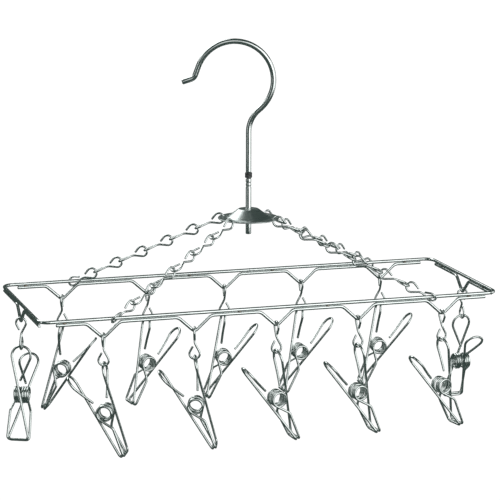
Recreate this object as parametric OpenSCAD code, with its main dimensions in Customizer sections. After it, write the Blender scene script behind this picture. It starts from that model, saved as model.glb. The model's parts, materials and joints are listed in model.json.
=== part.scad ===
// Clip drying hanger: a swivel hook, a sheet hub, four jack chains and a welded wire
// frame with twelve notches, each holding one link and one spring-wire clip.
// Millimetres, +Z up. The origin is the inner top of the hook, where it rests on a pole.

/* [Hook] */
// Diameter of the hook wire
hook_wire = 3.8; // [3.4:0.1:4]
// Radius of the hook arc, measured to the middle of the wire
hook_r = 26.3; // [24:0.1:30]
// Sideways distance from the centre of the hook arc to the shank
shank_offset = 9.5; // [6:0.5:12]
// Radius of the bend from the hook arc into the shank
neck_r = 20; // [14:0.5:24]
// Resting turn of the hook about its shank, in degrees
hook_turn = -17.5; // [-30:0.5:30]
// Height of the swivel collar
collar_h = 3.7; // [3:0.1:5]
// Diameter of the swivel collar
collar_d = 5; // [4.5:0.1:7]

/* [Hub] */
// Depth of the collar's top below the hook seat
collar_drop = 88; // [80:0.2:100]
// Depth of the hub's brim below the hook seat
hub_drop = 119.6; // [114:0.2:126]
// Depth of the stem's lower end below the hook seat
stem_drop = 130.8; // [127:0.2:136]
// Outer diameter of the stem tube
stem_d = 3.9; // [3.6:0.1:4.4]
// Outer diameter of the hub's brim
hub_d = 42; // [38:1:50]
// Height of the hub's cone above its brim
hub_h = 6.4; // [5:0.2:9]
// Thickness of the hub's sheet
sheet_t = 0.8; // [0.6:0.1:1]

/* [Frame] */
// Length between the middles of the two end rails
frame_len = 320; // [318:1:322]
// Depth between the middles of the front and back rails
frame_dep = 120; // [118:1:122]
// Depth of the rail's middle below the hook seat
rail_drop = 169.6; // [168:0.2:171]
// Diameter of the rail wire
rail_wire = 2.4; // [2.2:0.1:2.6]
// Bend radius at the rail's corners
corner_r = 7; // [5:0.5:9]
// Diameter of the notched wires
notch_wire = 2.2; // [2:0.1:2.3]
// Depth of a notch's lowest point below the rail
notch_drop = 11.9; // [11:0.1:13]
// Half of a notch's width at its top
notch_half = 11.3; // [10.5:0.1:12]

/* [Chains and links] */
// Wire diameter of every chain link and clip link
link_wire = 1.5; // [1.4:0.05:1.6]
// Outer width of a link's loops
loop_w = 8.4; // [8.2:0.1:8.8]
// Inner length of a clip link
clip_link_len = 20; // [19.5:0.1:21]

/* [Clips] */
// Wire diameter of the clips
clip_wire = 1.7; // [1.6:0.05:1.8]
// Outer diameter of the clip's coil
coil_d = 11.4; // [11:0.1:11.8]
// Distance from the coil's middle to the jaw bar
jaw_len = 30.6; // [29:0.1:32]
// Distance along an arm from its jaw bar to the middle of its handle loop
arm_len = 56.2; // [55:0.1:58]
// Outer width of a handle loop
handle_w = 14.6; // [13.6:0.2:15.6]
// Outer width of a jaw bar
jaw_w = 16.5; // [15.5:0.5:17.5]

/* [Hidden] */
$fn = 24;
GAP = 0.3;      // clearance between pieces that move on each other
SLIP = 0.1;     // clearance between chain links, and between welded wires
LAP = 0.15;     // length that a straight runs on into a bend
PRESS = 0.02;   // clearance of a pressed-on piece
SKIN = 0.35;    // half of the wall that joins the turns of a coil
CUT = 1;        // run-out of a cutting shape beyond what it cuts
THIN = 0.985;   // a straight's diameter as a share of its bend's, so that they join cleanly

// ---- hook and hub
seat_z = -(hook_r - hook_wire/2);                 // middle of the hook arc
neck_a = acos((shank_offset + neck_r)/(hook_r + neck_r));
neck_z = seat_z - (hook_r + neck_r)*sin(neck_a);  // where the neck bend meets the shank
lead_a = 160;                                     // angle at which the arc turns into a straight
lead_len = 8.4;                                   // from there to the corner of the tip's bend
tip_r = 5;                                        // bend between the straight and the tip
tip_len = 8.7;
tip_dir = [-0.951, 0, -0.309];
AXIS = [shank_offset*cos(hook_turn), shank_offset*sin(hook_turn), 0];  // shank and hub axis
collar_z = -collar_drop - collar_h;
pin_r = 1.1;            // swivel pin below the shank
pin_head_r = 1.45;
neck_bore_r = 1.2;      // crimped mouth of the stem, a running fit on the pin
chamber_r = 1.6;        // room for the pin's head
neck_depth = 8;
chamber_depth = 13;
pin_len = 9.5;          // from the stem's mouth down to the pin's head
pin_head_h = 2;
pin_root = 0.5;         // of the pin inside the shank
stem_top = collar_z - GAP;
hole_ring_r = 18.2;     // chain holes in the hub's brim
hole_d = 3;
hole_a = 36;
cone_top_r = 7;
cone_base_r = 15;
washer_d = 9;
washer_h = 0.9;

// ---- frame
rail_z = -rail_drop;
flat_z = rail_z - rail_wire/2 - notch_wire/2 - SLIP;
notch_z = rail_z - notch_drop;
notch_r = 2.5;          // tight bend at the bottom of a notch
shoulder_r = 6;         // bends at the top of a notch
NOTCH_X = [-118, -56, 1, 59, 120];
WELD_X = [-144, -25, 37, 139];     // welds of the long notched wires to the rail
WELD_Y = [-38, 38];                // welds of the notched wires at the ends
weld_d = 1.8;
long_start = -frame_len/2 + 10.5;
long_end = frame_len/2 - 8.5;
LEFT_ENDS = [-frame_dep/2 + 1.5, frame_dep/2 - 6];
RIGHT_ENDS = [-frame_dep/2 + 8.5, frame_dep/2 - 8.5];
rise_a = atan((notch_drop + flat_z - rail_z)/notch_half);   // slope of a notch's sides
closing_x = 20;                    // butt weld of the back rail, between two notches
closing_w = 2;
closing_lip = 0.3;                 // by which the butt weld is thicker than the rail

// ---- stations: name, x, y, side's turn about Z, and the resting turn of its link and clip
FRONT_TURN = [-26, -20, 4.5, 6, 11];
BACK_TURN = [-27, 6, -7, 0.5, -7];
STATIONS = concat(
    [for (i = [0:4]) [str("front_", i + 1), NOTCH_X[i], -frame_dep/2, 0, FRONT_TURN[i]]],
    [for (i = [0:4]) [str("back_", i + 1), NOTCH_X[i], frame_dep/2, 180, BACK_TURN[i]]],
    [["left", -frame_len/2, 0, -90, -26], ["right", frame_len/2, 0, 90, 3]]);

// ---- links: two teardrop loops turned about the link's length
loop_r = (loop_w - link_wire)/2;
clip_link_mid = clip_link_len + link_wire;        // between the middles of its end wires
link_gap = 2.6;                                   // from a loop's free end to the link's middle
link_lap = 0.4;                                   // of the two loops' wires at the link's middle

// ---- chains: six links from the hub's hole to the rail
CORNERS = [["front_left", -1, -1], ["front_right", 1, -1], ["back_left", -1, 1], ["back_right", 1, 1]];
tie_left = NOTCH_X[0] + 8.4;                      // where the chains loop round the rail
tie_right = NOTCH_X[4] - 8.4;
rail_link_turn = 38;                              // roll of the last loop, to pass the rail
link_step_lap = link_wire + SLIP;                 // overlap of two linked loops

// ---- clips
coil_r = (coil_d - clip_wire)/2;
coil_pitch = 2;
coil_turns = 3;
handle_r = (handle_w - clip_wire)/2;
jaw_half = (jaw_w - clip_wire)/2;
jaw_bend = 2.2;
jaw_side = clip_wire/2 + GAP/2;                   // a jaw bar's distance from the middle plane
arm_side = (coil_d/2 + GAP + clip_wire/2);        // a long wire's distance from the coil axis
jaw_a = atan(jaw_side/jaw_len);
arm_a = asin(arm_side/norm([jaw_side, jaw_len])) - jaw_a;    // lean of an arm
tail = [-0.8, arm_len - 17];                      // free end of a handle loop, in the arm's plane
tail_in = 3.4;                                    // and its distance from that plane
tail_bend = 1.5;                                  // from the loop to where the tail turns inward
tail_r = 6;
elbow = [2.2, -6.6, -11];                         // where the return wire turns to the coil
elbow_r = 4;
top_s = arm_len + handle_r;                       // top of a handle loop along its arm
HANDLE = [jaw_side + top_s*sin(arm_a), 0, -jaw_len + top_s*cos(arm_a)];
stick_a = 1.3;                                    // held off plumb by friction on the link
clip_lean = atan(HANDLE.x/HANDLE.z) + stick_a;    // hangs with its weight under the handle
hang = clip_link_len - notch_wire/2 - clip_wire/2 - 2*GAP;  // notch wire to handle wire

FIXED = ["hook", "swivel_collar", "stem", "hub", "lock_washer", "rail",
    "notch_wire_front", "notch_wire_back", "notch_wire_left", "notch_wire_right"];

// ---- wire work
function unit(v) = v/norm(v);
function side_of(d) = unit(cross(abs(d.z) < 0.9 ? [0, 0, 1] : [1, 0, 0], d));

// Puts its children in a frame with origin o and axes x, y and z
module placed(o, x, y, z)
    multmatrix([[x.x, y.x, z.x, o.x], [x.y, y.y, z.y, o.y], [x.z, y.z, z.z, o.z], [0, 0, 0, 1]])
        children();

// A straight wire from a to b, run on by la and lb at its ends
module rod(a, b, d, la = 0, lb = 0) {
    z = unit(b - a);
    x = side_of(z);
    placed(a - z*la, x, cross(z, x), z) cylinder(h = norm(b - a) + la + lb, d = d);
}

// A wire bent about the centre c, from the direction u, turning about n
module arc(c, u, n, r, angle, d)
    placed(c, u, cross(n, u), n) rotate_extrude(angle = angle) translate([r, 0]) circle(d = d);

// A wire through points p, with bend radius r[i] at each inner point
module wire(p, r, d) {
    last = len(p) - 1;
    dir = [for (i = [0:last - 1]) unit(p[i + 1] - p[i])];
    turn = [for (i = [0:last]) i == 0 || i == last ? 0 : acos(dir[i - 1]*dir[i])];
    cut = [for (i = [0:last]) turn[i] == 0 ? 0 : r[i]*tan(turn[i]/2)];
    for (i = [0:last - 1])
        rod(p[i] + dir[i]*cut[i], p[i + 1] - dir[i]*cut[i + 1], last > 1 ? d*THIN : d,
            i == 0 ? 0 : LAP, i == last - 1 ? 0 : LAP);
    for (i = [1:1:last - 1]) {
        inward = unit(dir[i] - dir[i - 1]*(dir[i - 1]*dir[i]));
        start = p[i] - dir[i - 1]*cut[i];
        arc(start + inward*r[i], -inward, cross(dir[i - 1], inward), r[i], turn[i], d);
    }
}

// A teardrop loop in the XZ plane: its middle is len below the origin, one side
// runs up to the origin and the other stops short of it by gap
module teardrop(len, r, gap, d) {
    a = asin(r/len);
    reach = len*cos(a);
    right = [reach*sin(a), 0, -reach*cos(a)];
    arc([0, 0, -len], [cos(a), 0, sin(a)], [0, 1, 0], r, 180 + 2*a, d);
    rod(right, [0, 0, 0], d*THIN, LAP, link_lap);
    rod([-right.x, 0, right.z], [-gap*sin(a), 0, -gap*cos(a)], d*THIN, LAP, 0);
}

// A link: end wires mid apart, upper loop in the YZ plane, lower loop turned about Z by twist
module link(mid, twist = 90) {
    rotate([0, 0, 90]) mirror([0, 0, 1]) teardrop(mid/2 - loop_r, loop_r, link_gap, link_wire);
    rotate([0, 0, 90 - twist]) teardrop(mid/2 - loop_r, loop_r, link_gap, link_wire);
}

// ---- hook, collar, stem and hub
module hook() color("lightgray") rotate([0, 0, hook_turn]) {
    middle = [0, 0, seat_z];
    arc_end = middle + hook_r*[cos(lead_a), 0, sin(lead_a)];
    down = [-sin(lead_a), 0, cos(lead_a)];
    knee = arc_end + down*lead_len;
    join_a = 0.3;
    arc(middle, [cos(join_a - neck_a), 0, sin(join_a - neck_a)], [0, -1, 0], hook_r,
        neck_a - join_a + lead_a, hook_wire);
    wire([arc_end - down*LAP, knee, knee + tip_len*unit(tip_dir)], [0, tip_r, 0], hook_wire);
    waist = middle + hook_r*[cos(neck_a), 0, -sin(neck_a)];
    along = [sin(neck_a), 0, cos(neck_a)];
    rod(waist - along*2*LAP, waist + along*2*LAP, hook_wire*THIN);
    arc([shank_offset + neck_r, 0, neck_z], [-1, 0, 0], [0, 1, 0], neck_r, neck_a - 2*join_a, hook_wire);
    translate([shank_offset, 0, -collar_drop])
        cylinder(h = neck_z + collar_drop + LAP, d = hook_wire*THIN);
    translate([shank_offset, 0, stem_top - pin_len])
        cylinder(h = pin_len + GAP + collar_h + pin_root, r = pin_r);
    translate([shank_offset, 0, stem_top - pin_len - pin_head_h])
        cylinder(h = pin_head_h, r = pin_head_r);
}

module swivel_collar() color("dimgray") translate(AXIS + [0, 0, collar_z]) difference() {
    cylinder(h = collar_h, d = collar_d);
    translate([0, 0, -CUT]) cylinder(h = collar_h + 2*CUT, r = pin_r + PRESS);
}

module stem() color("lightgray") translate(AXIS) difference() {
    translate([0, 0, -stem_drop]) cylinder(h = stem_drop + stem_top, d = stem_d);
    translate([0, 0, stem_top - neck_depth - CUT]) cylinder(h = neck_depth + 2*CUT, r = neck_bore_r);
    translate([0, 0, stem_top - chamber_depth])
        cylinder(h = chamber_depth - neck_depth, r = chamber_r);
}

module hub() color("silver") translate(AXIS + [0, 0, -hub_drop]) difference() {
    rotate_extrude() polygon([
        [stem_d/2 + PRESS, hub_h], [cone_top_r, hub_h], [cone_base_r, sheet_t/2], [hub_d/2, sheet_t/2],
        [hub_d/2, -sheet_t/2], [cone_base_r - sheet_t/2, -sheet_t/2],
        [cone_top_r - sheet_t/2, hub_h - sheet_t], [stem_d/2 + PRESS, hub_h - sheet_t]]);
    for (c = CORNERS)
        translate([c[1]*hole_ring_r*cos(hole_a), c[2]*hole_ring_r*sin(hole_a), -sheet_t/2 - CUT])
            cylinder(h = sheet_t + 2*CUT, d = hole_d);
}

module lock_washer() color("darkgray")
    translate(AXIS + [0, 0, -hub_drop + hub_h - sheet_t - SLIP - washer_h]) difference() {
        cylinder(h = washer_h, d = washer_d);
        translate([0, 0, -CUT]) cylinder(h = washer_h + 2*CUT, d = stem_d + 2*PRESS);
    }

// ---- rail and notched wires
module rail() color("lightgray") translate(AXIS + [0, 0, rail_z]) {
    hx = frame_len/2;
    hy = frame_dep/2;
    wire([[closing_x, hy, 0], [hx, hy, 0], [hx, -hy, 0], [-hx, -hy, 0], [-hx, hy, 0],
        [closing_x + SLIP, hy, 0]], [0, corner_r, corner_r, corner_r, corner_r, 0], rail_wire);
    translate([closing_x - closing_w/2, hy, 0]) rotate([0, 90, 0])
        cylinder(h = closing_w, d = rail_wire + closing_lip);
}

// A notched wire along X from a to b, with a notch at each x in xs and a weld at each of welds
module notched(a, b, xs, welds) {
    vertex = notch_drop + notch_r*(1/cos(rise_a) - 1);
    p = concat([[a, 0, flat_z - rail_z]],
        [for (x = xs) each [[x - notch_half, 0, flat_z - rail_z], [x, 0, -vertex],
            [x + notch_half, 0, flat_z - rail_z]]],
        [[b, 0, flat_z - rail_z]]);
    r = concat([0], [for (x = xs) each [shoulder_r, notch_r, shoulder_r]], [0]);
    wire(p, r, notch_wire);
    for (x = welds) translate([x, 0, (flat_z - rail_z)/2]) sphere(d = weld_d);
}

module notch_wire_front() color("lightgray") translate(AXIS + [0, -frame_dep/2, rail_z])
    notched(long_start, long_end, NOTCH_X, WELD_X);
module notch_wire_back() color("lightgray") translate(AXIS + [0, frame_dep/2, rail_z])
    notched(long_start, long_end, NOTCH_X, WELD_X);
module notch_wire_left() color("lightgray") translate(AXIS + [-frame_len/2, 0, rail_z])
    rotate([0, 0, 90]) notched(LEFT_ENDS[0], LEFT_ENDS[1], [0], WELD_Y);
module notch_wire_right() color("lightgray") translate(AXIS + [frame_len/2, 0, rail_z])
    rotate([0, 0, 90]) notched(RIGHT_ENDS[0], RIGHT_ENDS[1], [0], WELD_Y);

// ---- chains
function hub_hole(c) = AXIS + [c[1]*hole_ring_r*cos(hole_a), c[2]*hole_ring_r*sin(hole_a), -hub_drop];
function tie(c) = AXIS + [c[1] < 0 ? tie_left : tie_right, c[2]*frame_dep/2, rail_z];
// Middle distance of a chain link's end wires, from the taut length of six links
function chain_mid(c) = (norm(tie(c) - hub_hole(c)) + loop_r + 5*link_step_lap)/6;

// Links first to last of a chain, each hanging on the one above
module chain_links(c, first, last, twist = 90) {
    d = unit(tie(c) - hub_hole(c));           // down the chain
    across = unit(cross([0, 0, 1], d));
    mid = chain_mid(c);
    for (i = [first:last])
        placed(hub_hole(c) + d*(mid/2 + i*(mid - link_step_lap)), across, cross(-d, across), -d)
            link(mid, twist);
}
module chain_upper(c) color("silver") chain_links(c, 0, 2);
module chain_lower(c) color("silver") chain_links(c, 3, 4);
module chain_end_link(c) color("silver") chain_links(c, 5, 5, -c[1]*c[2]*rail_link_turn);

// ---- clips
// A point of the held arm: u across the clip and s up the arm from its jaw bar
function on_arm(u, s) = [jaw_side + s*sin(arm_a), u, -jaw_len + s*cos(arm_a)];

// One arm in the clip's frame: coil axis along Y, jaws down, this arm on the +X side
module arm() {
    far = [jaw_half, 0];
    loop_mid = [0, arm_len];
    to_mid = loop_mid - far;
    lean = atan2(to_mid.y, to_mid.x) + asin(handle_r/norm(to_mid));
    from_tail = loop_mid - tail;
    tail_a = atan2(from_tail.y, from_tail.x) - asin(handle_r/norm(from_tail));
    left = loop_mid + handle_r*[cos(lean + 90), sin(lean + 90)];
    right = loop_mid + handle_r*[cos(tail_a - 90), sin(tail_a - 90)];
    up = [sin(arm_a), 0, cos(arm_a)];
    out = cross([0, 1, 0], up);
    arc(on_arm(0, arm_len), [0, cos(tail_a - 90), 0] + up*sin(tail_a - 90), out, handle_r,
        lean - tail_a + 180, clip_wire);
    loop_end = on_arm(right.x, right.y);
    down = unit(on_arm(tail.x, tail.y) - loop_end);
    wire([loop_end - down*LAP, loop_end + down*tail_bend, on_arm(tail.x, tail.y) - out*tail_in],
        [0, tail_r, 0], clip_wire);
    ring_u = -(GAP/2 + clip_wire/2 + (coil_turns - 1)*coil_pitch);
    reach = coil_r - GAP;
    touch_a = atan2(elbow.z, elbow.x) - acos(reach/norm([elbow.x, elbow.z]));
    touch = [reach*cos(touch_a), ring_u, reach*sin(touch_a)];
    wire([on_arm(left.x, left.y) - unit(on_arm(left.x, left.y) - on_arm(jaw_half, 0))*-LAP,
        on_arm(jaw_half, 0), on_arm(-jaw_half, 0), elbow, touch],
        [0, jaw_bend, jaw_bend, elbow_r, 0], clip_wire);
    for (i = [0:coil_turns - 1])
        translate([0, -(GAP/2 + clip_wire/2 + i*coil_pitch), 0])
            rotate([90, 0, 0]) rotate_extrude() translate([coil_r, 0]) circle(d = clip_wire);
    half = clip_wire + (coil_turns - 1)*coil_pitch;
    translate([0, -GAP/2, 0]) rotate([90, 0, 0]) difference() {
        cylinder(h = half - SLIP, r = coil_r + SKIN);
        translate([0, 0, -CUT]) cylinder(h = half + 2*CUT, r = coil_r - SKIN);
    }
}

// Puts its children at a station, in the clip's frame
module at_clip(s) translate(AXIS + [s[1], s[2], notch_z - hang]) rotate([0, 0, s[3] + s[4]])
    rotate([0, -clip_lean, 0]) translate(-HANDLE) children();

module link_at(s) color("silver")
    translate(AXIS + [s[1], s[2], notch_z + notch_wire/2 + GAP + link_wire/2 - clip_link_mid/2])
        rotate([0, 0, s[3] + s[4]]) link(clip_link_mid);
module clip_held_arm(s) color("lightgray") at_clip(s) arm();
module clip_free_arm(s) color("lightgray") at_clip(s) rotate([0, 0, 180]) arm();

hook();
swivel_collar();
stem();
hub();
lock_washer();
rail();
notch_wire_front();
notch_wire_back();
notch_wire_left();
notch_wire_right();
for (c = CORNERS) chain_upper(c);
for (c = CORNERS) chain_lower(c);
for (c = CORNERS) chain_end_link(c);
for (s = STATIONS) link_at(s);
for (s = STATIONS) clip_held_arm(s);
for (s = STATIONS) clip_free_arm(s);
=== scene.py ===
import bpy
import bmesh
import json
import math
from mathutils import Matrix, Vector


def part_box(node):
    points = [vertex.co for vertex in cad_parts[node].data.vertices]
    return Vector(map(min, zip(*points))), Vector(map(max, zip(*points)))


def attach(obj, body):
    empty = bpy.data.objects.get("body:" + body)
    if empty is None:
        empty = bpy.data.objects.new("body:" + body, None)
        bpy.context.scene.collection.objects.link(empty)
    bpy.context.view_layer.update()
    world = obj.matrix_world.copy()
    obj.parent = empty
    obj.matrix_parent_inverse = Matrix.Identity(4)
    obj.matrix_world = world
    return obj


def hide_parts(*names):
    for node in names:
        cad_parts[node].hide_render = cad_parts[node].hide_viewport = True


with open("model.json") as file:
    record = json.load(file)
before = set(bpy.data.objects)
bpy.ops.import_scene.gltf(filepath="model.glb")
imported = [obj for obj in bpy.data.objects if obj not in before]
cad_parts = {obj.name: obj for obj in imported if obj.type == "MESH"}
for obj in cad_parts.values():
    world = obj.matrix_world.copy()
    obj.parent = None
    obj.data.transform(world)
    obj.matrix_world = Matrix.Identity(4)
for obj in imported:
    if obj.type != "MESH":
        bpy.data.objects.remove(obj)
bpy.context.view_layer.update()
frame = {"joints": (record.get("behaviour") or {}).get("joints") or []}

# ---- sizes, in millimetres; meshes are scaled to metres when they are made
MM = 0.001
HOOK_WIRE = 3.8
HOOK_R = 26.3            # middle of the hook's arc
SHANK_OFFSET = 9.5       # arc centre to shank
NECK_R = 20.0
SEAT_TO_ARC = -(HOOK_R - HOOK_WIRE / 2)
LEAD_ANGLE = 160.0       # where the arc turns into a straight
LEAD_LEN = 8.4           # from there to the corner of the tip's bend
TIP_R = 5.0
TIP_LEN = 8.7
TIP_DIR = Vector((-0.951, 0, -0.309))
COLLAR_D = 5.0
STEM_D = 3.9
PIN_R = 1.1
PIN_PLAY = 0.05          # between the pin and the collar's bore
PIN_HEAD_R = 1.45
PIN_HEAD_H = 2.0
PIN_LEN = 11.5           # from the stem's mouth to the lower end of the pin's head
STEM_BORE_R = 1.2        # of the crimped mouth
CHAMBER_R = 1.6          # room for the pin's head
NECK_DEPTH = 8.0
CHAMBER_DEPTH = 13.0
CRIMPS = (5.6, 3.2)      # of the stem tube, below its mouth
CRIMP_DEPTH = 0.26
HUB_H = 6.4
SHEET = 0.8
HUB_BASE_R = 15.0        # foot of the hub's cone
HUB_TOP_R = 7.0
HUB_PLAY = 0.03          # between the stem and the hub
HUB_HOLE_D = 3.0
HUB_HOLE_RING = 18.2
HUB_HOLE_ANGLE = 36.0
RAIL_WIRE = 2.4
RAIL_CORNER_R = 7.0
CLOSING_X = 20.0         # butt weld of the back rail
CLOSING_SWELL = 0.14
LONG_WELDS = (-144.0, -25.0, 37.0, 139.0)     # along the long wires, from their middle
END_WELDS = (-38.0, 38.0)
WELDS = {"front": LONG_WELDS, "back": LONG_WELDS, "left": END_WELDS, "right": END_WELDS}
NOTCH_WIRE = 2.2
NOTCH_DROP = 11.9
NOTCH_HALF = 11.3
NOTCH_R = 2.5
SHOULDER_R = 6.0
SLIP = 0.1
GAP = 0.3
LINK_WIRE = 1.5
LOOP_R = 3.45
LINK_GAP = 2.6           # free end of a link's loop to the link's middle
TWIST_R = 4.5            # bend at the link's middle
CLIP_LINK = 21.5         # between the middles of a clip link's end wires
UPPER_LINKS = 3          # of each chain, hung from the hub
LOWER_LINKS = 2          # between those and the link round the rail
RAIL_LINK_TURN = 38.0    # of the last link's lower loop, to lie across the rail
CLIP_WIRE = 1.7
COIL_D = 11.4
COIL_DEPTH = 4.0         # of one half of the coil, between the middles of its end turns
WHOLE_TURNS = 2          # of that half
JAW_LEN = 30.6
ARM_LEN = 56.2
HANDLE_W = 14.6
JAW_W = 16.5
JAW_BEND = 2.2
TAIL = (-0.8, ARM_LEN - 17)          # free end of a handle loop, across and up the arm
TAIL_IN = 3.4            # by which the free end of a handle loop is bent towards the other arm
ELBOW = Vector((2.2, -6.6, -11.0))   # where the return wire turns to the coil
ELBOW_R = 4.0

# ---- places from the frame
joints = {j["name"]: j for j in frame["joints"]}


def joint_at(name):
    return Vector(joints[name]["pos_m"]) / MM


def size_of(node):
    low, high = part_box(node)
    return (high - low) / MM


def middle_of(node):
    low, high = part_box(node)
    return (high + low) / (2 * MM)


SWIVEL = joint_at("hook_swivel")             # lower face of the collar, on the axis
AXIS = Vector((SWIVEL.x, SWIVEL.y, 0))
COLLAR_H = size_of("swivel_collar").z
STEM_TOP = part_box("stem")[1].z / MM
STEM_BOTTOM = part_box("stem")[0].z / MM
HUB_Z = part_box("hub")[0].z / MM + SHEET / 2
RAIL_Z = middle_of("rail").z
HALF_LEN = (size_of("rail").x - RAIL_WIRE) / 2
HALF_DEP = (size_of("rail").y - RAIL_WIRE) / 2
HOOK_TURN = math.atan2(AXIS.y, AXIS.x)
STATIONS = [n[len("link_"):-len("_swing")] for n in joints if n.startswith("link_")]
CORNERS = ["front_left", "front_right", "back_left", "back_right"]


# ---- centrelines
def arc_points(middle, u, v, r, start, end, step=8.0):
    """Points on an arc in the plane of u and v, from start to end in degrees."""
    count = max(2, math.ceil(abs(end - start) / step))
    angles = [math.radians(start + (end - start) * i / count) for i in range(count + 1)]
    return [middle + r * (math.cos(a) * u + math.sin(a) * v) for a in angles]


def rounded(points, radii, step=8.0):
    """A polyline with an arc of the given radius at each inner point."""
    path = [points[0]]
    for before, corner, after, r in zip(points, points[1:], points[2:], radii[1:]):
        came = (corner - before).normalized()
        goes = (after - corner).normalized()
        turn = came.angle(goes)
        cut = r * math.tan(turn / 2)
        inward = (goes - came * came.dot(goes)).normalized()
        middle = corner - came * cut + inward * r
        path += arc_points(middle, -inward, came, r, 0, math.degrees(turn), step)
    return path + [points[-1]]


def rounded_profile(points, radii, step=15.0):
    """A (radius, height) outline with its inner corners rounded."""
    path = rounded([Vector((r, 0, z)) for r, z in points], radii, step)
    return [(p.x, p.z) for p in path]


def with_middles(path, step):
    """Adds points to long straights, so that bends and bumps may start anywhere along them."""
    result = [path[0]]
    for a, b in zip(path, path[1:]):
        count = max(1, math.ceil((b - a).length / step))
        result += [a.lerp(b, i / count) for i in range(1, count + 1)]
    return result


def teardrop(length, side, gap):
    """Half a link below the origin: from the free end, round the loop and up to the origin.
    The loop lies in the plane of side and Z."""
    up = Vector((0, 0, 1))
    a = math.asin(LOOP_R / length)
    free = -side * gap * math.sin(a) - up * gap * math.cos(a)
    return [free] + arc_points(-up * length, side, up, LOOP_R, 180 - math.degrees(a),
                               360 + math.degrees(a), 12)


def link_path(mid, twist):
    """A jack chain link: one wire, an upper and a lower loop, and a twist between them."""
    length = mid / 2 - LOOP_R
    lower = teardrop(length, Vector((math.cos(twist), math.sin(twist), 0)), LINK_GAP)
    upper = [Vector((p.x, p.y, -p.z)) for p in teardrop(length, Vector((0, 1, 0)), LINK_GAP)]
    middle = rounded([upper[-1], Vector((0, 0, 0)), lower[-1]], [0, TWIST_R, 0], 5)
    return upper + middle[1:-1] + lower[::-1]


# ---- meshes
def put(mesh, name, body, slot, material, *nodes):
    """Makes an object of a mesh in metres, lets it ride on a body and stand for CAD nodes."""
    obj = bpy.data.objects.new(name, mesh)
    bpy.context.scene.collection.objects.link(obj)
    mesh.materials.append(material)
    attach(obj, body)
    if nodes:
        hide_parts(*nodes)
    return obj


def frames_along(path, closed):
    """A tangent and two normals at each point, carried along without twist."""
    count = len(path)
    tangents = []
    for i in range(count):
        ahead = path[(i + 1) % count] if closed or i < count - 1 else path[i]
        behind = path[i - 1] if closed or i > 0 else path[i]
        tangents.append((ahead - behind).normalized())
    seed = Vector((0, 0, 1)) if abs(tangents[0].z) < 0.9 else Vector((1, 0, 0))
    normal = (seed - tangents[0] * seed.dot(tangents[0])).normalized()
    result = []
    for t in tangents:
        normal = (normal - t * normal.dot(t)).normalized()
        result.append((t, normal, t.cross(normal)))
    return result


# Cut end of a wire: distance back from the end and share of the radius
CUT_END = [(0.55, 1.0), (0.22, 0.97), (0.07, 0.86), (0.0, 0.68)]


def sweep(wires, sides=12):
    """A mesh of one or more round wires. Each wire is a path, a radius or a function of the length
    along it, and whether it is closed. UV u is the way round and v the length, in centimetres."""
    mesh = bpy.data.meshes.new("wire")
    bm = bmesh.new()
    uv = bm.loops.layers.uv.new("wire")
    for path, radius, closed in wires:
        radius_at = radius if callable(radius) else (lambda s, r=radius: r)
        path = [path[0]] + [b for a, b in zip(path, path[1:]) if (b - a).length > 1e-4]
        if closed and (path[0] - path[-1]).length < 1e-4:
            path = path[:-1]
        rings = []
        length = 0.0
        axes = frames_along(path, closed)
        for i, (p, (_, n, b)) in enumerate(zip(path, axes)):
            if i:
                length += (p - path[i - 1]).length
            rings.append((p, n, b, radius_at(length), length))
        if not closed:
            rings = cut_ends(rings, axes)
        rows = []
        for p, n, b, r, _ in rings:
            turn = [2 * math.pi * k / sides for k in range(sides)]
            rows.append([bm.verts.new((p + r * (math.cos(a) * n + math.sin(a) * b)) * MM) for a in turn])
        marks = [ring[4] for ring in rings]
        if closed:
            rows.append(rows[0])
            marks.append(length + (path[0] - path[-1]).length)
        for j in range(len(rows) - 1):
            for k in range(sides):
                m = (k + 1) % sides
                corners = [rows[j][k], rows[j][m], rows[j + 1][m], rows[j + 1][k]]
                face = bm.faces.new(corners)
                face.smooth = True
                values = [(k, j), (k + 1, j), (k + 1, j + 1), (k, j + 1)]
                for loop, (across, along) in zip(face.loops, values):
                    loop[uv].uv = (across / sides, marks[along] / 10)
        if not closed:
            for row, backwards in ((rows[0], True), (rows[-1], False)):
                face = bm.faces.new(row[::-1] if backwards else row)
                for loop in face.loops:
                    loop[uv].uv = (0.5, marks[0 if backwards else -1] / 10)
    bmesh.ops.recalc_face_normals(bm, faces=bm.faces)
    bm.to_mesh(mesh)
    bm.free()
    return mesh


def cut_ends(rings, axes):
    """Adds the rings of a cut end, with its edge broken, at both ends of a wire."""
    p, n, b, r, s = rings[0]
    head = [(p + axes[0][0] * r * back, n, b, r * share, s + r * back) for back, share in CUT_END]
    q, m, c, w, e = rings[-1]
    foot = [(q - axes[-1][0] * w * back, m, c, w * share, e - w * back) for back, share in CUT_END]
    return head[::-1] + rings[1:-1] + foot


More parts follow.
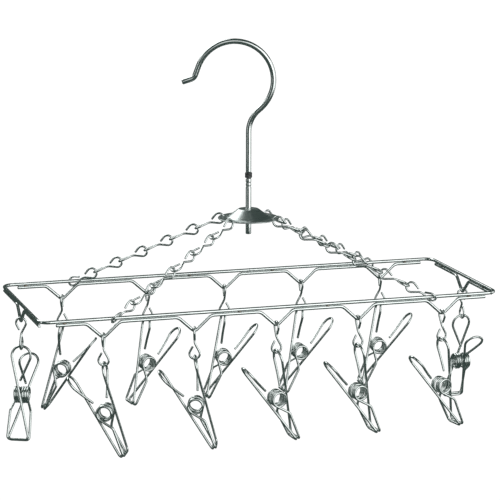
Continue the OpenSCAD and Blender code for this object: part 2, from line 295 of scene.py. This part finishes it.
def lathe(profile, sides, at, closed=False):
    """A turned mesh about Z through at, from a profile of (radius, height) points."""
    mesh = bpy.data.meshes.new("turned")
    bm = bmesh.new()
    uv = bm.loops.layers.uv.new("wire")
    rows = []
    for r, z in profile:
        if r < 1e-6:
            rows.append([bm.verts.new((at + Vector((0, 0, z))) * MM)] * sides)
            continue
        turn = [2 * math.pi * k / sides for k in range(sides)]
        rows.append([bm.verts.new((at + Vector((r * math.cos(a), r * math.sin(a), z))) * MM) for a in turn])
    pairs = list(zip(range(len(rows) - 1), range(1, len(rows))))
    if closed:
        pairs.append((len(rows) - 1, 0))
    for i, j in pairs:
        for k in range(sides):
            m = (k + 1) % sides
            corners = []
            for v in (rows[i][k], rows[i][m], rows[j][m], rows[j][k]):
                if v not in corners:
                    corners.append(v)
            if len(corners) > 2:
                face = bm.faces.new(corners)
                face.smooth = True
                for loop in face.loops:
                    local = loop.vert.co / MM - at
                    loop[uv].uv = (k / sides, math.hypot(local.x, local.y) / 10 + local.z / 10)
    bmesh.ops.recalc_face_normals(bm, faces=bm.faces)
    bm.to_mesh(mesh)
    bm.free()
    return mesh


def crisp(mesh, degrees=35.0):
    """Marks edges sharper than an angle, so that smooth shading stops at them."""
    bm = bmesh.new()
    bm.from_mesh(mesh)
    for edge in bm.edges:
        if len(edge.link_faces) == 2:
            edge.smooth = edge.calc_face_angle() < math.radians(degrees)
    for face in bm.faces:
        face.smooth = True
    bm.to_mesh(mesh)
    bm.free()
    return mesh


def apply_modifiers(obj):
    """Replaces an object's mesh by the one its modifiers make."""
    bpy.context.view_layer.update()
    graph = bpy.context.evaluated_depsgraph_get()
    mesh = bpy.data.meshes.new_from_object(obj.evaluated_get(graph))
    obj.modifiers.clear()
    obj.data = mesh


# ---- materials
def node_group(material):
    """Empties a material's node tree and gives it one Principled shader."""
    material.use_nodes = True
    tree = material.node_tree
    tree.nodes.clear()
    output = tree.nodes.new("ShaderNodeOutputMaterial")
    shader = tree.nodes.new("ShaderNodeBsdfPrincipled")
    tree.links.new(shader.outputs["BSDF"], output.inputs["Surface"])
    return tree, shader


def noise_on(tree, vector, scale, detail, rough=0.6):
    """A noise pattern on the given coordinates."""
    noise = tree.nodes.new("ShaderNodeTexNoise")
    noise.inputs["Scale"].default_value = scale
    noise.inputs["Detail"].default_value = detail
    noise.inputs["Roughness"].default_value = rough
    tree.links.new(vector, noise.inputs["Vector"])
    return noise.outputs["Fac"]


def stretched(tree, vector, scale):
    """Coordinates scaled by a different amount along each axis."""
    mapping = tree.nodes.new("ShaderNodeMapping")
    mapping.inputs["Scale"].default_value = scale
    tree.links.new(vector, mapping.inputs["Vector"])
    return mapping.outputs["Vector"]


def remap(tree, value, low, high, out_low, out_high):
    """Stretches a value between two limits to two others."""
    node = tree.nodes.new("ShaderNodeMapRange")
    node.inputs["From Min"].default_value = low
    node.inputs["From Max"].default_value = high
    node.inputs["To Min"].default_value = out_low
    node.inputs["To Max"].default_value = out_high
    tree.links.new(value, node.inputs["Value"])
    return node.outputs["Result"]


def blend_colours(tree, factor, first, second):
    """Mixes two colours, each a tuple or another node's output."""
    node = tree.nodes.new("ShaderNodeMix")
    node.data_type = "RGBA"
    tree.links.new(factor, node.inputs["Factor"])
    for socket, colour in (("A", first), ("B", second)):
        target = [i for i in node.inputs if i.name == socket and i.type == "RGBA"][0]
        if isinstance(colour, tuple):
            target.default_value = colour + (1.0,)
        else:
            tree.links.new(colour, target)
    return [o for o in node.outputs if o.type == "RGBA"][0]


def bumped(tree, shader, layers):
    """Adds bump layers of (height, strength, distance) on top of each other."""
    normal = None
    for height, strength, distance in layers:
        bump = tree.nodes.new("ShaderNodeBump")
        bump.inputs["Strength"].default_value = strength
        bump.inputs["Distance"].default_value = distance
        tree.links.new(height, bump.inputs["Height"])
        if normal:
            tree.links.new(normal, bump.inputs["Normal"])
        normal = bump.outputs["Normal"]
    tree.links.new(normal, shader.inputs["Normal"])


def drawn_steel(name, light, dark, smooth, rough):
    """Bright drawn wire: die lines along the wire, cloudy polish and a few small nicks."""
    material = bpy.data.materials.new(name)
    tree, shader = node_group(material)
    uv = tree.nodes.new("ShaderNodeUVMap")
    uv.uv_map = "wire"
    place = tree.nodes.new("ShaderNodeTexCoord").outputs["Object"]
    lines = noise_on(tree, stretched(tree, uv.outputs["UV"], (26, 0.35, 1)), 1.0, 3)
    cloud = noise_on(tree, place, 90.0, 3)
    nick = noise_on(tree, place, 1400.0, 2, 0.5)
    nicks = remap(tree, nick, 0.66, 0.74, 0.0, 1.0)
    shade = blend_colours(tree, remap(tree, cloud, 0.35, 0.65, 0, 1), light, dark)
    tree.links.new(blend_colours(tree, remap(tree, lines, 0.3, 0.75, 0, 0.35), shade, dark),
                   shader.inputs["Base Color"])
    mix = tree.nodes.new("ShaderNodeMath")
    mix.operation = "MULTIPLY_ADD"
    tree.links.new(nicks, mix.inputs[0])
    mix.inputs[1].default_value = 0.25
    tree.links.new(remap(tree, lines, 0.25, 0.75, smooth, rough), mix.inputs[2])
    tree.links.new(mix.outputs[0], shader.inputs["Roughness"])
    shader.inputs["Metallic"].default_value = 1.0
    bumped(tree, shader, [(lines, 0.25, 0.00004), (nick, 0.12, 0.00003)])
    return material


def pressed_sheet(name):
    """The hub's stainless sheet: satin, with fine rings from the press and faint smears."""
    material = bpy.data.materials.new(name)
    tree, shader = node_group(material)
    uv = tree.nodes.new("ShaderNodeUVMap")
    uv.uv_map = "wire"
    place = tree.nodes.new("ShaderNodeTexCoord").outputs["Object"]
    rings = noise_on(tree, stretched(tree, uv.outputs["UV"], (1.5, 60, 1)), 1.0, 4)
    cloud = noise_on(tree, place, 70.0, 4)
    grain = noise_on(tree, place, 2600.0, 2)
    smears = remap(tree, cloud, 0.3, 0.7, 0, 1)
    colour = blend_colours(tree, smears, (0.63, 0.67, 0.66), (0.50, 0.55, 0.54))
    tree.links.new(colour, shader.inputs["Base Color"])
    tree.links.new(remap(tree, rings, 0.25, 0.75, 0.24, 0.38), shader.inputs["Roughness"])
    shader.inputs["Metallic"].default_value = 1.0
    bumped(tree, shader, [(rings, 0.25, 0.00005), (grain, 0.2, 0.00003)])
    return material


def weld_metal(name):
    """A resistance weld: dull, lumpy, browned and blued by the heat."""
    material = bpy.data.materials.new(name)
    tree, shader = node_group(material)
    place = tree.nodes.new("ShaderNodeTexCoord").outputs["Object"]
    heat = noise_on(tree, place, 900.0, 3)
    lumps = noise_on(tree, place, 1500.0, 3)
    tint = remap(tree, heat, 0.35, 0.6, 0, 1)
    colour = blend_colours(tree, tint, (0.13, 0.16, 0.17), (0.30, 0.25, 0.19))
    tree.links.new(colour, shader.inputs["Base Color"])
    tree.links.new(remap(tree, lumps, 0.3, 0.7, 0.3, 0.6), shader.inputs["Roughness"])
    shader.inputs["Metallic"].default_value = 1.0
    bumped(tree, shader, [(lumps, 0.5, 0.0001)])
    return material


def black_nylon(name):
    """Moulded black nylon: slightly glossy, with a fine flow grain and rub marks."""
    material = bpy.data.materials.new(name)
    tree, shader = node_group(material)
    place = tree.nodes.new("ShaderNodeTexCoord").outputs["Object"]
    grain = noise_on(tree, place, 3200.0, 2)
    rub = noise_on(tree, stretched(tree, place, (300, 300, 1500)), 1.0, 3)
    worn = remap(tree, rub, 0.4, 0.75, 0, 1)
    colour = blend_colours(tree, worn, (0.010, 0.012, 0.012), (0.045, 0.05, 0.05))
    tree.links.new(colour, shader.inputs["Base Color"])
    tree.links.new(remap(tree, rub, 0.3, 0.7, 0.28, 0.5), shader.inputs["Roughness"])
    bumped(tree, shader, [(grain, 0.3, 0.00004)])
    return material


HOOK_STEEL = drawn_steel("hook_steel", (0.78, 0.81, 0.80), (0.66, 0.70, 0.69), 0.08, 0.17)
FRAME_STEEL = drawn_steel("frame_steel", (0.77, 0.80, 0.79), (0.64, 0.68, 0.67), 0.08, 0.18)
LINK_STEEL = drawn_steel("link_steel", (0.78, 0.81, 0.80), (0.64, 0.68, 0.67), 0.11, 0.22)
CLIP_STEEL = drawn_steel("clip_steel", (0.78, 0.82, 0.80), (0.62, 0.66, 0.65), 0.10, 0.20)
SPRING_STEEL = drawn_steel("spring_steel", (0.36, 0.37, 0.37), (0.22, 0.23, 0.24), 0.22, 0.4)
HUB_SHEET = pressed_sheet("hub_satin")
WELD = weld_metal("weld")
NYLON = black_nylon("collar_nylon")


# ---- hook, collar and stem
def hook_path():
    """From the collar up the shank, round the neck and the arc, and down to the flicked tip."""
    middle = Vector((0, 0, SEAT_TO_ARC))
    x = Vector((1, 0, 0))
    z = Vector((0, 0, 1))
    neck = math.acos((SHANK_OFFSET + NECK_R) / (HOOK_R + NECK_R))
    neck_middle = Vector((SHANK_OFFSET + NECK_R, 0, SEAT_TO_ARC - (HOOK_R + NECK_R) * math.sin(neck)))
    path = [Vector((SHANK_OFFSET, 0, SWIVEL.z + COLLAR_H - GAP))]
    path += arc_points(neck_middle, -x, z, NECK_R, 0, math.degrees(neck), 4)
    path += arc_points(middle, x, z, HOOK_R, -math.degrees(neck), LEAD_ANGLE, 3)[1:]
    end = math.radians(LEAD_ANGLE)
    down = Vector((-math.sin(end), 0, math.cos(end)))
    tip = TIP_DIR.normalized()
    knee = path[-1] + down * LEAD_LEN
    path += rounded([path[-1], knee, knee + tip * TIP_LEN], [0, TIP_R, 0], 6)[1:]
    return path


turn_hook = Matrix.Rotation(HOOK_TURN, 3, "Z")
put(sweep([([turn_hook @ p for p in hook_path()], HOOK_WIRE / 2, False)], 24),
    "hook_wire", "hook", "hook_wire", HOOK_STEEL, "hook")


def pin_profile():
    """The pin below the shank, with a riveted head that keeps it in the stem."""
    foot = STEM_TOP - PIN_LEN
    neck = foot + PIN_HEAD_H
    root = SWIVEL.z + COLLAR_H
    head = [(0, foot), (PIN_HEAD_R, foot), (PIN_HEAD_R, neck)]
    return rounded_profile(head + [(PIN_R, neck), (PIN_R, root), (0, root)], [0, 0.35, 0.2, 0, 0, 0])


put(crisp(lathe(pin_profile(), 32, AXIS)), "swivel_pin", "hook", "hook_wire", HOOK_STEEL, "hook")


def collar_profile():
    """The black ring, with rounded edges and a shallow groove round its waist."""
    low = SWIVEL.z + 0.02
    high = SWIVEL.z + COLLAR_H
    bore = PIN_R + PIN_PLAY
    outer = COLLAR_D / 2
    waist = SWIVEL.z + COLLAR_H / 2
    groove = outer - 0.22
    groove_half = 0.35
    outside = [(outer, low), (outer, waist - groove_half), (groove, waist), (outer, waist + groove_half)]
    outline = [(bore, low)] + outside + [(outer, high), (bore, high), (bore, low)]
    return rounded_profile(outline, [0, 0.55, 0.3, 0.25, 0.3, 0.55, 0.1, 0])[:-1]


put(crisp(lathe(collar_profile(), 48, AXIS, closed=True), 50),
    "collar", "hook", "black_collar", NYLON, "swivel_collar")


def stem_profile():
    """The stem tube: a narrow mouth above the room for the pin's head, and rings rolled in outside."""
    outer = STEM_D / 2
    rolled = outer - CRIMP_DEPTH
    half_ring = 0.75
    half_floor = 0.3
    neck = STEM_TOP - NECK_DEPTH
    end = STEM_TOP - CHAMBER_DEPTH
    outside = [(outer - 0.3, STEM_BOTTOM), (outer, STEM_BOTTOM + 0.35)]
    for depth in CRIMPS:
        z = STEM_TOP - depth
        outside += [(outer, z - half_ring), (rolled, z - half_floor)]
        outside += [(rolled, z + half_floor), (outer, z + half_ring)]
    outside += [(outer, STEM_TOP - 0.5), (outer - 0.35, STEM_TOP)]
    inside = [(STEM_BORE_R, STEM_TOP), (STEM_BORE_R, neck), (CHAMBER_R, neck), (CHAMBER_R, end), (0, end)]
    radii = [0, 0, 0.15] + [0.5, 0.3, 0.3, 0.5] * len(CRIMPS) + [0.4, 0.15] + [0.1, 0.05, 0.05, 0.3, 0]
    return rounded_profile([(0, STEM_BOTTOM)] + outside + inside, radii, 20)


put(crisp(lathe(stem_profile(), 48, AXIS)), "stem_tube", "hub", "hook_wire", HOOK_STEEL, "stem")


# ---- hub and lock washer
def hub_profile():
    """The hub's section: a flat top round the stem, a cone and a flat brim, all of one sheet."""
    slant = SHEET / 2        # by which the cone's inner face lies nearer the stem
    brim = HUB_Z + SHEET / 2
    base = HUB_Z - SHEET / 2
    top = HUB_Z + HUB_H
    rim = size_of("hub").x / 2
    bore = STEM_D / 2 + HUB_PLAY
    outside = [(bore, top), (HUB_TOP_R, top), (HUB_BASE_R, brim), (rim, brim)]
    inside = [(rim, base), (HUB_BASE_R - slant, base), (HUB_TOP_R - slant, top - SHEET), (bore, top - SHEET)]
    radii = [0, 0.5, 1.0, 0.35] + [0.35, 0.6, 0.5, 0.1] + [0]
    return rounded_profile(outside + inside + [(bore, top)], radii, 12)[:-1]


def drilled_hub():
    """The hub's sheet with its four chain holes, and every sharp edge broken."""
    turned = lathe(hub_profile(), 144, AXIS, closed=True)
    hub = put(turned, "hub_plate", "hub", "hub_sheet", HUB_SHEET, "hub")
    drills = bmesh.new()
    drill_len = 4.0
    for corner in range(4):
        angle = math.radians(HUB_HOLE_ANGLE) * (1 if corner % 2 else -1) + math.pi * (corner // 2)
        at = AXIS + HUB_HOLE_RING * Vector((math.cos(angle), math.sin(angle), 0)) + Vector((0, 0, HUB_Z))
        place = Matrix.Translation(at * MM)
        r = HUB_HOLE_D / 2 * MM
        bmesh.ops.create_cone(drills, cap_ends=True, segments=40, radius1=r, radius2=r,
                              depth=drill_len * MM, matrix=place)
    cutter_mesh = bpy.data.meshes.new("drills")
    drills.to_mesh(cutter_mesh)
    drills.free()
    cutter = bpy.data.objects.new("drills", cutter_mesh)
    bpy.context.scene.collection.objects.link(cutter)
    cut = hub.modifiers.new("holes", "BOOLEAN")
    cut.object = cutter
    cut.operation = "DIFFERENCE"
    cut.solver = "EXACT"
    round_off = hub.modifiers.new("edges", "BEVEL")
    round_off.width = 0.12 * MM
    round_off.segments = 2
    round_off.limit_method = "ANGLE"
    round_off.angle_limit = math.radians(60)
    apply_modifiers(hub)
    bpy.data.objects.remove(cutter)
    crisp(hub.data, 40)


drilled_hub()


def lock_washer_mesh():
    """A push-on retainer: a dished ring whose inner edge is slit into eight teeth."""
    sides = 192
    teeth = 8
    slit_share = 0.22
    slit_r = 3.0
    flat_r = 3.3             # where the dish begins
    dish_height = 0.38
    sheet = 0.3
    play = 0.05
    above = 0.1              # of the flat ring's lower face from the bottom of its box
    low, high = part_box("lock_washer")
    outer = (high.x - low.x) / (2 * MM) - play
    z_low = low.z / MM + above
    mesh = bpy.data.meshes.new("lock_washer")
    bm = bmesh.new()
    uv = bm.loops.layers.uv.new("wire")
    rows = []
    for k in range(sides):
        a = 2 * math.pi * k / sides
        inner = slit_r if (k * teeth / sides) % 1.0 < slit_share else STEM_D / 2 + play
        radii = [inner, (3 * inner + flat_r) / 4, flat_r - 0.2, flat_r + 0.2, outer - 0.1, outer]
        dish = [z_low + dish_height * max(0.0, (flat_r - r) / (flat_r - STEM_D / 2)) for r in radii]
        ring = [(r, z + sheet) for r, z in zip(radii, dish)] + list(zip(radii, dish))[::-1]
        places = [AXIS + Vector((r * math.cos(a), r * math.sin(a), z)) for r, z in ring]
        rows.append([bm.verts.new(p * MM) for p in places])
    count = len(rows[0])
    for k in range(sides):
        m = (k + 1) % sides
        for i in range(count):
            j = (i + 1) % count
            face = bm.faces.new([rows[k][i], rows[m][i], rows[m][j], rows[k][j]])
            for loop, values in zip(face.loops, ((k, i), (k + 1, i), (k + 1, i + 1), (k, i + 1))):
                loop[uv].uv = (values[0] / sides, values[1] / 10)
    bmesh.ops.recalc_face_normals(bm, faces=bm.faces)
    bm.to_mesh(mesh)
    bm.free()
    return crisp(mesh, 40)


put(lock_washer_mesh(), "lock_ring", "hub", "spring_steel", SPRING_STEEL, "lock_washer")


# ---- frame
def rail_path():
    """The rail's rectangle, from its butt weld in the back round to the weld again."""
    x, y = HALF_LEN, HALF_DEP
    corners = [(CLOSING_X, y), (x, y), (x, -y), (-x, -y), (-x, y), (CLOSING_X, y)]
    r = RAIL_CORNER_R
    path = rounded([AXIS + Vector((cx, cy, RAIL_Z)) for cx, cy in corners], [0, r, r, r, r, 0], 6)
    return with_middles(path, 4.0)


def butt_weld(s):
    """Radius of the rail near its two joined ends: the wire swells where it was upset in the weld."""
    near = min(s, RAIL_LENGTH - s)
    spread = 0.55
    return RAIL_WIRE / 2 + CLOSING_SWELL * math.exp(-(near / spread) ** 2)


rough_path = rail_path()
NEAR_WELD = (0.06, 0.12, 0.18, 0.25, 0.4)    # shares of a step, where the swelling needs points
rail_points = rough_path[:1] + [rough_path[0].lerp(rough_path[1], t) for t in NEAR_WELD] + rough_path[1:-1]
rail_points += [rough_path[-1].lerp(rough_path[-2], t) for t in reversed(NEAR_WELD)]
RAIL_LENGTH = sum((b - a).length for a, b in zip(rail_points, rail_points[1:] + rail_points[:1]))
put(sweep([(rail_points, butt_weld, True)], 20), "rail_wire", "frame", "frame_wire", FRAME_STEEL, "rail")


def notched_path(low, high, notches):
    """A notched wire along X, with Z measured from the rail's middle."""
    flat = -(RAIL_WIRE + NOTCH_WIRE) / 2 - SLIP
    half = math.atan2(NOTCH_DROP + flat, NOTCH_HALF)
    bottom = -NOTCH_DROP - NOTCH_R * (1 / math.cos(half) - 1)
    points = [Vector((low, 0, flat))]
    radii = [0]
    for x in notches:
        points.append(Vector((x - NOTCH_HALF, 0, flat)))
        points.append(Vector((x, 0, bottom)))
        points.append(Vector((x + NOTCH_HALF, 0, flat)))
        radii += [SHOULDER_R, NOTCH_R, SHOULDER_R]
    points.append(Vector((high, 0, flat)))
    return with_middles(rounded(points, radii + [0], 7), 5.0)


def nugget(x, seed):
    """The lump of a resistance weld between the rail and the wire under it, at x along the wire."""
    rings = []
    count = 9
    half_len = 1.5
    for i in range(count):
        t = -1 + 2 * i / (count - 1)
        lump = 1 + 0.12 * math.sin(3.1 * i + seed)
        r = 0.18 + 0.82 * math.sqrt(max(0.0, 1 - t * t)) * lump
        aside = 0.06 * math.sin(2.3 * i + seed)
        rings.append((Vector((x + half_len * t, aside, -(RAIL_WIRE + SLIP) / 2)), r))
    return rings


def lumps(rings_list, sides=14):
    """A mesh of closed lumps, each a row of (middle, radius) along X."""
    mesh = bpy.data.meshes.new("lumps")
    bm = bmesh.new()
    flatness = 1.064         # of a squeezed lump, wider than it is tall
    for n, rings in enumerate(rings_list):
        rows = []
        for p, r in rings:
            row = []
            for k in range(sides):
                a = 2 * math.pi * k / sides
                wide = flatness * r * math.cos(a)
                tall = (0.92 + 0.08 * math.sin(3 * a + n)) * r * math.sin(a)
                row.append(bm.verts.new((p + Vector((0, wide, tall))) * MM))
            rows.append(row)
        for a, b in zip(rows, rows[1:]):
            for k in range(sides):
                m = (k + 1) % sides
                bm.faces.new([a[k], a[m], b[m], b[k]]).smooth = True
        bm.faces.new(rows[0][::-1]).smooth = True
        bm.faces.new(rows[-1]).smooth = True
    bmesh.ops.recalc_face_normals(bm, faces=bm.faces)
    bm.to_mesh(mesh)
    bm.free()
    return mesh


def notched_wire(side, place, turn):
    """One notched wire with its welds; place is the middle of its rail and turn its direction."""
    node = "notch_wire_" + side
    into = Matrix.Translation(place * MM) @ Matrix.Rotation(turn, 4, "Z")
    back = into.inverted()
    low, high = sorted((back @ corner).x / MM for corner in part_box(node))
    hangers = [joint_at(f"link_{s}_swing") * MM for s in STATIONS if s.split("_")[0] == side]
    notches = sorted((back @ p).x / MM for p in hangers)
    mesh = sweep([(notched_path(low, high, notches), NOTCH_WIRE / 2, False)], 16)
    mesh.transform(into)
    put(mesh, "notched_wire_" + side, "frame", "frame_wire", FRAME_STEEL, node)
    mesh = lumps([nugget(x, 1.7 * i) for i, x in enumerate(WELDS[side])])
    mesh.transform(into)
    put(mesh, "welds_" + side, "frame", "frame_wire", WELD, node)


notched_wire("front", AXIS + Vector((0, -HALF_DEP, RAIL_Z)), 0)
notched_wire("back", AXIS + Vector((0, HALF_DEP, RAIL_Z)), 0)
notched_wire("left", AXIS + Vector((-HALF_LEN, 0, RAIL_Z)), math.pi / 2)
notched_wire("right", AXIS + Vector((HALF_LEN, 0, RAIL_Z)), math.pi / 2)


# ---- chains and clip links
def frame_at(origin, x, y, z):
    """A frame with its origin in millimetres, as a matrix for points in metres."""
    m = Matrix((x, y, z)).transposed().to_4x4()
    m.translation = origin * MM
    return m


def link_mesh(mid, twist, into):
    """One link's wire, placed; mid is the distance between the middles of its end wires."""
    mesh = sweep([(link_path(mid, twist), LINK_WIRE / 2, False)], 12)
    mesh.transform(into)
    return mesh


def chain(corner):
    """The links from the hub's hole to the rail. All but the last move as two groups."""
    hole = joint_at(f"chain_upper_{corner}_hinge")
    last_joint = joint_at(f"chain_lower_{corner}_hinge")
    down = (last_joint - hole).normalized()
    lap = LINK_WIRE + SLIP
    hung = UPPER_LINKS + LOWER_LINKS
    mid = ((last_joint - hole).length + (hung - 1) * lap) / hung
    across = Vector((0, 0, 1)).cross(down).normalized()
    outward = -1 if "left" in corner else 1
    backward = 1 if "back" in corner else -1
    turn = math.radians(-outward * backward * RAIL_LINK_TURN)
    for i in range(hung + 1):
        last = i == hung
        place = frame_at(hole + down * (mid / 2 + i * (mid - lap)), across, (-down).cross(across), -down)
        node = "chain_upper_" if i < UPPER_LINKS else "chain_end_link_" if last else "chain_lower_"
        body = "frame" if last else node + corner
        mesh = link_mesh(mid, math.pi / 2 - turn if last else 0.0, place)
        put(mesh, f"link_{i + 1}_of_{corner}", body, "link_wire", LINK_STEEL, node + corner)


for corner in CORNERS:
    chain(corner)


def clip_axes(station):
    """The directions of a clip: its coil's axis Y, and Z up from the jaws, from its joints."""
    coil = joint_at(f"jaw_{station}_open")
    handle = joint_at(f"clip_{station}_swing")
    y = Vector(joints[f"jaw_{station}_open"]["axis"]).normalized()
    up = (handle - coil).normalized()
    lean = math.atan2(HANDLE.x, HANDLE.z)
    z = Matrix.Rotation(-lean, 3, y) @ up
    return coil, y.cross(z), y, z


def clip_link(station):
    """The link that hangs in a notch and carries a clip."""
    pivot = joint_at(f"link_{station}_swing")
    y = Vector(joints[f"jaw_{station}_open"]["axis"]).normalized()
    z = Vector((0, 0, 1))
    top = NOTCH_WIRE / 2 + GAP + LINK_WIRE / 2
    place = frame_at(pivot + z * (top - CLIP_LINK / 2), y.cross(z), y, z)
    put(link_mesh(CLIP_LINK, 0.0, place), "clip_link_" + station, "link_" + station, "link_wire",
        LINK_STEEL, "link_" + station)


# ---- clips
COIL_R = (COIL_D - CLIP_WIRE) / 2
HANDLE_R = (HANDLE_W - CLIP_WIRE) / 2
JAW_HALF = (JAW_W - CLIP_WIRE) / 2
JAW_SIDE = CLIP_WIRE / 2 + GAP / 2
ARM_SIDE = COIL_D / 2 + GAP + CLIP_WIRE / 2
ARM_A = math.asin(ARM_SIDE / math.hypot(JAW_SIDE, JAW_LEN)) - math.atan(JAW_SIDE / JAW_LEN)
TOP_S = ARM_LEN + HANDLE_R
HANDLE = Vector((JAW_SIDE + TOP_S * math.sin(ARM_A), 0, -JAW_LEN + TOP_S * math.cos(ARM_A)))


def on_arm(u, s):
    """A point in the plane of one half of a clip: u across, s up from the jaw bar."""
    return Vector((JAW_SIDE + s * math.sin(ARM_A), u, -JAW_LEN + s * math.cos(ARM_A)))


def bent_in(path, inward, reach, most):
    """Bends the first part of a path aside: most at its start, nothing from reach on."""
    result = []
    length = 0.0
    for i, p in enumerate(path):
        if i:
            length += (p - path[i - 1]).length
        result.append(p + inward * most * max(0.0, 1 - length / reach) ** 1.5)
    return result


def arm_path():
    """Half of a clip: handle loop, long wire, jaw bar, return wire and half of the coil."""
    top = Vector((0, ARM_LEN))
    to_loop = top - Vector((JAW_HALF, 0))
    lean = math.atan2(to_loop.y, to_loop.x) + math.asin(HANDLE_R / to_loop.length)
    from_tail = top - Vector(TAIL)
    tail_a = math.atan2(from_tail.y, from_tail.x) - math.asin(HANDLE_R / from_tail.length)
    u = Vector((0, 1, 0))
    up = Vector((math.sin(ARM_A), 0, math.cos(ARM_A)))
    handle = arc_points(on_arm(0, ARM_LEN), u, up, HANDLE_R,
                        math.degrees(tail_a) - 90, math.degrees(lean) + 90, 6)
    ring_u = -(GAP / 2 + CLIP_WIRE / 2 + COIL_DEPTH)
    touch_a = math.atan2(ELBOW.z, ELBOW.x) - math.acos(COIL_R / math.hypot(ELBOW.x, ELBOW.z))
    touch = Vector((COIL_R * math.cos(touch_a), ring_u, COIL_R * math.sin(touch_a)))
    body = rounded([handle[-1], on_arm(JAW_HALF, 0), on_arm(-JAW_HALF, 0), ELBOW, touch],
                   [0, JAW_BEND, JAW_BEND, ELBOW_R, 0], 8)
    turn = -(math.degrees(touch_a) + 270 + 360 * WHOLE_TURNS)     # to the coil's highest point
    count = math.ceil(-turn / 12)
    coil = []
    for i in range(1, count + 1):
        t = i / count
        a = touch_a + math.radians(turn * t)
        coil.append(Vector((COIL_R * math.cos(a), ring_u + COIL_DEPTH * t, COIL_R * math.sin(a))))
    tail_side = with_middles([on_arm(*TAIL), handle[0]], 2.0)
    inward = -u.cross(up)
    into_loop = 10.0
    reach = (tail_side[-1] - tail_side[0]).length + into_loop
    return bent_in(tail_side + handle[1:], inward, reach, TAIL_IN) + body[1:] + coil


def clip(station):
    """A peg in its two halves. The free half is the held one turned half round the peg's middle."""
    coil, x, y, z = clip_axes(station)
    half_turn = Matrix.Rotation(math.pi, 4, "Z")
    for part, body, turn in (("held", "clip_", Matrix.Identity(4)), ("free", "jaw_", half_turn)):
        mesh = sweep([(arm_path(), CLIP_WIRE / 2, False)], 12)
        mesh.transform(frame_at(coil, x, y, z) @ turn)
        put(mesh, f"peg_{part}_half_{station}", body + station, "clip_wire", CLIP_STEEL,
            f"clip_{part}_arm_{station}")


for station in STATIONS:
    clip_link(station)
    clip(station)


# ---- stage, light and camera
def stage_sheet():
    """A pale round floor that curves up into a wall all round, well clear of the hanging object."""
    floor_z = -1600.0
    wall_r = 4500.0
    wall_z = 4500.0
    cove_r = 1200.0
    profile = rounded_profile([(0, floor_z), (wall_r, floor_z), (wall_r, wall_z)], [0, cove_r, 0], 5)
    mesh = lathe(profile, 96, Vector((0, 0, 0)))
    material = bpy.data.materials.new("stage_white")
    shader = node_group(material)[1]
    shader.inputs["Base Color"].default_value = (0.3, 0.3, 0.3, 1)
    shader.inputs["Roughness"].default_value = 0.9
    shader.inputs["Emission Color"].default_value = (1, 1, 1, 1)
    shader.inputs["Emission Strength"].default_value = 0.8
    mesh.materials.append(material)
    stage = bpy.data.objects.new("studio_floor", mesh)
    bpy.context.scene.collection.objects.link(stage)
    stage.visible_glossy = False


def look_at(obj, place, target):
    """Puts a light at a place, facing a target."""
    obj.location = place
    obj.rotation_euler = (target - place).to_track_quat("-Z", "Y").to_euler()


def softbox(name, place, target, width, height, power):
    """A rectangular studio light."""
    light = bpy.data.lights.new(name, "AREA")
    light.shape = "RECTANGLE"
    light.size = width
    light.size_y = height
    light.energy = power
    obj = bpy.data.objects.new(name, light)
    bpy.context.scene.collection.objects.link(obj)
    look_at(obj, place, target)


stage_sheet()
CENTRE = (AXIS + Vector((0, 0, RAIL_Z))) * MM     # metres
YAW = 0.30607             # the camera's turn, dip and roll in radians
PITCH = 0.19961
ROLL = 0.00274
DISTANCE = 1.5989         # metres, as the next two
ASIDE = -0.00122          # of the frame's middle from the view's axis, to the right
ABOVE = -0.02685          # and upwards
LENS = 166.56
SENSOR = 36.0
forward = Vector((math.sin(YAW) * math.cos(PITCH), math.cos(YAW) * math.cos(PITCH), -math.sin(PITCH)))
level = Vector((math.cos(YAW), -math.sin(YAW), 0))
over = level.cross(forward)
right = math.cos(ROLL) * level + math.sin(ROLL) * over
upward = -math.sin(ROLL) * level + math.cos(ROLL) * over
eye = CENTRE - right * ASIDE - upward * ABOVE - forward * DISTANCE


def around(azimuth, elevation, distance):
    """A place seen from the object's middle, azimuth measured to the camera's right."""
    a = math.radians(azimuth)
    e = math.radians(elevation)
    toward = Vector((-forward.x, -forward.y, 0)).normalized()
    aside = Vector((right.x, right.y, 0)).normalized()
    flat = math.cos(a) * toward + math.sin(a) * aside
    return CENTRE + distance * (math.cos(e) * flat + Vector((0, 0, math.sin(e))))


softbox("key_softbox", around(45, 16, 1.6), CENTRE, 1.7, 1.9, 17)
softbox("front_softbox", around(-2, 24, 1.8), CENTRE, 0.9, 1.3, 2.6)
softbox("right_softbox", around(103, 4, 1.6), CENTRE, 1.1, 1.5, 4.5)
softbox("top_left_softbox", around(-138, 42, 1.5), CENTRE, 1.3, 1.0, 10)
softbox("left_strip", around(-62, 12, 1.6), CENTRE, 0.3, 1.3, 1.6)

world = bpy.data.worlds.new("studio")
bpy.context.scene.world = world
world.use_nodes = True
world.node_tree.nodes["Background"].inputs["Color"].default_value = (0.055, 0.078, 0.071, 1)
world.node_tree.nodes["Background"].inputs["Strength"].default_value = 1.0

camera_data = bpy.data.cameras.new("camera")
camera_data.lens = LENS
camera_data.sensor_width = SENSOR
camera = bpy.data.objects.new("camera", camera_data)
bpy.context.scene.collection.objects.link(camera)
pose = Matrix((right, upward, -forward)).transposed().to_4x4()
pose.translation = eye
camera.matrix_world = pose
bpy.context.scene.camera = camera
bpy.context.scene.view_settings.view_transform = "Standard"
